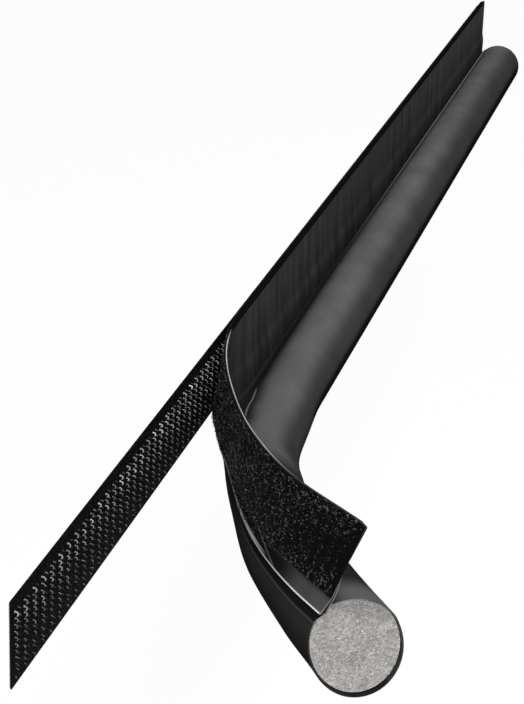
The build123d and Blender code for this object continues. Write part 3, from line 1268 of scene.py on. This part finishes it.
def band_mask(add, join, measured, middle, half, soft):
    """1 where measured lies within half of middle, fading to 0 over soft."""
    away = add("Math", operation="SUBTRACT")
    away.inputs[1].default_value = middle
    join(measured, away.inputs[0])
    size = add("Math", operation="ABSOLUTE")
    join(away.outputs[0], size.inputs[0])
    return fade(add, join, size.outputs[0], half, half + soft, 1.0, 0.0)


def times(add, join, first, second):
    node = add("Math", operation="MULTIPLY")
    join(first, node.inputs[0])
    join(second, node.inputs[1])
    return node.outputs[0]


def blend_colours(add, join, under, over, share, how="MIX"):
    """Lays colour over on under by share; each can be a socket or plain."""
    node = add("Mix", data_type="RGBA", blend_type=how)
    factor, first, second = node.inputs[0], node.inputs[6], node.inputs[7]
    for source, target in ((under, first), (over, second), (share, factor)):
        if is_socket(source):
            join(source, target)
        else:
            target.default_value = source if isinstance(source, float) else (*source, 1)
    return node.outputs[2]


print("mask and blend helpers ready")

# %% [markdown]
# The cover is a dark coated cloth and quite matt. Its colour starts as the grey that was
# stored on the vertices, with its painted light and shade, and two noises make it uneven:
# soft blotches on the roll, and streaks that run straight up the flap because they are
# stretched on the UV map.

# %% Cover cloth
cloth_stuff, shader, add, join = new_material("dark_coated_cloth")
uv_node = add("UVMap", uv_map="cloth")
axes = add("SeparateXYZ")
join(uv_node.outputs["UV"], axes.inputs[0])
along_cloth, across_cloth = axes.outputs["X"], axes.outputs["Y"]
streak_place = add("Mapping")
streak_place.inputs["Scale"].default_value = (130, 12, 1)
join(uv_node.outputs["UV"], streak_place.inputs["Vector"])
streaks = add("TexNoise", Scale=1.0, Detail=3.0, Roughness=0.55)
join(streak_place.outputs["Vector"], streaks.inputs["Vector"])
in_space = add("TexCoord").outputs["Object"]
grain = add("TexNoise", Scale=2400.0, Detail=2.0)
blotch = add("TexNoise", Scale=45.0, Detail=3.0)
highlight_noise = add("TexNoise", Scale=90.0, Detail=3.0)
for pattern in (grain, blotch, highlight_noise):
    join(in_space, pattern.inputs["Vector"])

mottled = ramp(add, join, blotch.outputs["Fac"], [(0.3, 0.86), (0.7, 1.12)])
streaky = ramp(add, join, streaks.outputs["Fac"], [(0.32, 0.68), (0.7, 1.3)])
flap_middle = (FOLD_PLACE + CREASE_PLACE) / 2
flap_half = (FOLD_PLACE - CREASE_PLACE) / 2
on_flap = band_mask(add, join, across_cloth, flap_middle, flap_half, 0.5 * MM)
uneven = blend_colours(add, join, mottled, streaky, on_flap)
# The stored grey holds the cloth's own grey together with painted light and shade.
painted = add("Attribute", attribute_name="grey_light_and_shade").outputs["Fac"]
colour = blend_colours(add, join, painted, uneven, 1.0, "MULTIPLY")
print("cloth:", len(cloth_stuff.node_tree.nodes), "nodes")

# %% [markdown]
# Fine lines make the folds readable. They all run along the strip, so one helper lays a
# line at a place across the cloth, and shares along the strip say where it shows.
#
# The first ones belong to the seam. Along the far part the welt gets a pale painted
# highlight. Where the strip turns, that highlight is painted again at the welt's shifted
# place, and close to the cut a faint painted highlight runs along a crease of the roll,
# beside the tucked end.

# %% Seam lines
def along_mask(start, end, soft):
    """1 between two places along the strip, fading over soft at both ends."""
    middle, half = (start + end) / 2, abs(end - start) / 2
    return band_mask(add, join, along_cloth, middle, half, soft)


def past_peel(start, end, soft):
    """The same, in millimetres past the start of the peel."""
    return along_mask(PEEL_FROM - start * MM, PEEL_FROM - end * MM, soft * MM)


def cloth_line(colour, shade, middle, half, soft, *shares, measured=across_cloth):
    """Lays a line over colour; half and soft are millimetres, shares weaken it."""
    mask = band_mask(add, join, measured, middle, half * MM, soft * MM)
    for share in shares:
        mask = times(add, join, mask, share)
    return blend_colours(add, join, colour, shade, mask)


slid_place = add("Attribute", attribute_name="slid").outputs["Fac"]
# The welt's pale line is a painted highlight along the far part.
welt_highlight_along = fade(add, join, along_cloth, -45 * MM, 300 * MM)
colour = cloth_line(colour, (0.15, 0.15, 0.152), WELT_PLACE, 0.45, 0.4, welt_highlight_along)
# The welt's painted highlight again, at its shifted place where the strip turns.
colour = cloth_line(
    colour, (0.10, 0.10, 0.102), WELT_PLACE, 0.3, 0.4, past_peel(22, 44, 6), measured=slid_place
)
# A faint painted highlight along a crease of the roll, beside the tucked end.
colour = cloth_line(
    colour, (0.045, 0.045, 0.045), roll_at(18), 0.25, 0.5, past_peel(125, 205, 20)
)
print("seam lines laid")

# %% [markdown]
# The free edge of the flap is folded. While it hangs on the door the fold lies in its own
# shadow, so it is painted black as painted shadow. Where it has been peeled off its top
# gets a pale, uneven painted highlight, with a second, fainter painted highlight beside it.

# %% Fold lines
hanging = fade(add, join, along_cloth, PEEL_FROM - 42 * MM, PEEL_FROM - 28 * MM)
off_door = fade(add, join, along_cloth, PEEL_FROM - 42 * MM, PEEL_FROM - 30 * MM, 1.0, 0.0)
shown = fade(add, join, along_cloth, cut_end + 38 * MM, cut_end + 64 * MM, 0.05, 1.0)
uneven_highlight = fade(add, join, highlight_noise.outputs["Fac"], 0.3, 0.6, 0.55, 1.0)
# Painted shadow: the fold is painted black where it hangs on the door.
colour = cloth_line(colour, (0.004, 0.004, 0.004), FOLD_PLACE + 0.5 * MM, 2.1, 0.4, hanging)
# Painted highlight along the top of the peeled fold, made uneven by a noise.
colour = cloth_line(
    colour, (0.42, 0.42, 0.43), FOLD_PLACE - 0.1 * MM, 0.28, 0.28, uneven_highlight, shown, off_door
)
# A second, fainter painted highlight beside it.
colour = cloth_line(
    colour, (0.14, 0.14, 0.142), FOLD_PLACE + 1.15 * MM, 0.15, 0.2, shown, off_door
)
print("fold lines laid")

# %% [markdown]
# The lap edge on the back is a cut edge and shows the pale core of the cloth, brightest
# near the scissor cut and soft further on. Beside it a pale line is painted aslant, the
# painted highlight of a slack fold. The rim of the scissor cut itself is paler too, but
# only on the lower plies, where the layers are seen end on.

# %% Lap and cut lines
LAP_FOLD_SLOPE = 0.365

# Painted highlight of a slack fold, laid aslant beside the lap edge.
aslant = add("VectorMath", operation="DOT_PRODUCT")
aslant.inputs[1].default_value = (LAP_FOLD_SLOPE, 1, 0)
join(uv_node.outputs["UV"], aslant.inputs[0])
lap_fold_at = LAP_PLACE - 6.5 * MM + LAP_FOLD_SLOPE * (PEEL_FROM - 148 * MM)
colour = cloth_line(
    colour, (0.10, 0.10, 0.10), lap_fold_at, 0.25, 0.6, past_peel(144, 162, 6),
    measured=aslant.outputs["Value"],
)
near_cut = fade(
    add, join, along_cloth, cut_end + 20 * MM, cut_end + 90 * MM, 0.9, 0.16, "SMOOTHSTEP"
)
colour = cloth_line(colour, (0.95, 0.95, 0.96), LAP_PLACE, 0.45, 0.5, near_cut)
colour = cloth_line(
    colour, (0.50, 0.50, 0.51), LAP_PLACE - 0.6 * MM, 1.3, 0.9, past_peel(80, 140, 16)
)

low_plies = add("Math", operation="ADD", use_clamp=True)
for socket, middle, half in zip(low_plies.inputs, (LAP_PLACE, CREASE_PLACE), (17, 14)):
    join(band_mask(add, join, across_cloth, middle, half * MM, 6 * MM), socket)
from_cut = add("Attribute", attribute_name="from_cut").outputs["Fac"]
colour = cloth_line(
    colour, (0.20, 0.20, 0.205), 0.0, 0.2, 0.3, low_plies.outputs[0], measured=from_cut
)
print("lap and cut lines laid")

# %% [markdown]
# Coated cloth has next to no gloss, so its specular level is zero, and the sheen along the
# roll is painted into its greys instead. Only its roughness varies with the grain. The
# grain and the streaks also stand out a little as bumps.

# %% Cloth finish
join(colour, shader.inputs["Base Color"])
join(
    ramp(add, join, grain.outputs["Fac"], [(0.2, 0.62), (0.8, 0.78)]), shader.inputs["Roughness"]
)
shader.inputs["Specular IOR Level"].default_value = 0.0
fine = bump(add, join, grain.outputs["Fac"], 0.05 * MM, 0.4)
join(bump(add, join, streaks.outputs["Fac"], 0.3 * MM, 0.6, fine), shader.inputs["Normal"])
cover.data.materials.append(cloth_stuff)
print("cloth:", len(cloth_stuff.node_tree.nodes), "nodes")

# %% [markdown]
# The foam is light grey and speckled. Two cell patterns are laid together: one gives
# every small cell its own grey, the other picks out a few cells whose middle is painted
# near white, as a painted glint.

# %% Foam material
foam_stuff, shader, add, join = new_material("open_cell_foam")
in_space = add("TexCoord").outputs["Object"]
cells = add("TexVoronoi", Scale=1150.0)
glints = add("TexVoronoi", Scale=1300.0)
cloud = add("TexNoise", Scale=160.0, Detail=4.0)
for pattern in (cells, glints, cloud):
    join(in_space, pattern.inputs["Vector"])
cell_grey, cell_luck = add("SeparateColor"), add("SeparateColor")
join(cells.outputs["Color"], cell_grey.inputs[0])
join(glints.outputs["Color"], cell_luck.inputs[0])
body = ramp(
    add, join, cell_grey.outputs[0],
    [(0.0, (0.20, 0.192, 0.184)), (0.5, (0.275, 0.265, 0.254)), (1.0, (0.36, 0.348, 0.335))],
)
cloudy = ramp(add, join, cloud.outputs["Fac"], [(0.3, 0.82), (0.7, 1.1)])
colour = blend_colours(add, join, body, cloudy, 1.0, "MULTIPLY")
# Painted glints: a few cell middles are painted near white.
chosen = fade(add, join, cell_luck.outputs[1], 0.86, 1.0, 0.0, 0.9)
core = fade(add, join, glints.outputs["Distance"], 0.15, 0.45, 1.0, 0.0)
colour = blend_colours(
    add, join, colour, (0.95, 0.94, 0.92), times(add, join, chosen, core)
)
join(colour, shader.inputs["Base Color"])
shader.inputs["Roughness"].default_value = 0.5
shader.inputs["Specular IOR Level"].default_value = 0.2
join(bump(add, join, cells.outputs["Distance"], 0.4 * MM, 0.8), shader.inputs["Normal"])
foam.data.materials.append(foam_stuff)
print("foam:", len(foam_stuff.node_tree.nodes), "nodes")

# %% [markdown]
# The grounds of both tapes, and the adhesive, are one pattern each, which gives the
# colour through a ramp and the bumps as well. The two grounds are nearly black, so that
# the loops and hooks stand out on them. The adhesive is a smoother grey.

# %% Tape grounds and adhesive
def patterned(name, pattern, output, stops, roughness, specular, depth):
    """A material of one pattern, which gives both the colour and the bumps."""
    kind, settings = pattern
    material, shader, add, join = new_material(name)
    texture = add(kind, **settings)
    join(add("TexCoord").outputs["Object"], texture.inputs["Vector"])
    height = texture.outputs[output]
    join(ramp(add, join, height, stops), shader.inputs["Base Color"])
    shader.inputs["Roughness"].default_value = roughness
    shader.inputs["Specular IOR Level"].default_value = specular
    join(bump(add, join, height, depth), shader.inputs["Normal"])
    return material


loops.data.materials.append(patterned(
    "black_knit_ground", ("TexVoronoi", {"Scale": 900.0}), "Distance",
    [(0.1, (0.004, 0.004, 0.0045)), (0.6, (0.001, 0.001, 0.001))], 0.9, 0.05, 0.3 * MM,
))
hooks.data.materials.append(patterned(
    "black_woven_ground", ("TexVoronoi", {"Scale": 750.0}), "Distance",
    [(0.12, (0.014, 0.014, 0.015)), (0.4, (0.0015, 0.0015, 0.0015))], 0.8, 0.03, 0.15 * MM,
))
film.data.materials.append(patterned(
    "clear_grey_adhesive", ("TexNoise", {"Scale": 160.0, "Detail": 4.0}), "Fac",
    [(0.3, (0.20, 0.20, 0.195)), (0.7, (0.30, 0.30, 0.29))], 0.35, 0.3, 0.08 * MM,
))
print("grounds and adhesive ready")

# %% [markdown]
# Every loop and hook carries the shade that its copy was given. A ramp turns that shade
# into a grey: most threads stay black, and the few pale ones are painted highlights, where
# threads would catch the light.

# %% Loops and hooks
def shaded_copies(name, stops, roughness, specular):
    """A material whose brightness is each copy's own shade, read through a ramp."""
    material, shader, add, join = new_material(name)
    own = add("Attribute", attribute_name="shade")
    colour = ramp(add, join, own.outputs["Fac"], stops)
    patch = add("TexNoise", Scale=1500.0, Detail=2.0)
    join(add("TexCoord").outputs["Object"], patch.inputs["Vector"])
    vary = ramp(add, join, patch.outputs["Fac"], [(0.3, 0.7), (0.7, 1.2)])
    join(blend_colours(add, join, colour, vary, 1.0, "MULTIPLY"), shader.inputs["Base Color"])
    shader.inputs["Roughness"].default_value = roughness
    shader.inputs["Specular IOR Level"].default_value = specular
    return material


# Painted light: threads and hooks are black, and their paler greys are painted highlights.
THREAD_GREYS = [(0.35, 0.004), (0.7, 0.035), (1.0, 0.22)]
TIP_GREYS = [(0.0, 0.04), (0.3, 0.11), (0.65, 0.26), (1.0, 0.5)]
STUB_GREYS = [(0.0, 0.01), (0.5, 0.04), (1.0, 0.2)]
curls.data.materials.append(shaded_copies("loop_thread", THREAD_GREYS, 0.5, 0.1))
pegs.data.materials.append(shaded_copies("hook_plastic_tips", TIP_GREYS, 0.35, 0.2))
stubs.data.materials.append(shaded_copies("hook_plastic_stubs", STUB_GREYS, 0.4, 0.15))
print("materials ready")

# %% [markdown]
# ## Attach each piece to the root
#
# Nothing on this strip moves, so every piece rides on the root.

for piece in (cover, foam, loops, curls, hooks, pegs, stubs, film):
    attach(piece, "root")
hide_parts("cover")
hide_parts("foam_core")
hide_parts("loop_tape")
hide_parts("hook_tape")
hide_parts("adhesive_layer")
print("cover declared as a sheet of %.3f by %.3f m" % (cloth_width, strip_length))

# %% [markdown]
# Last, the size of the solids is printed.

# %% Size of the solids
print("solids", cad_low, cad_high)
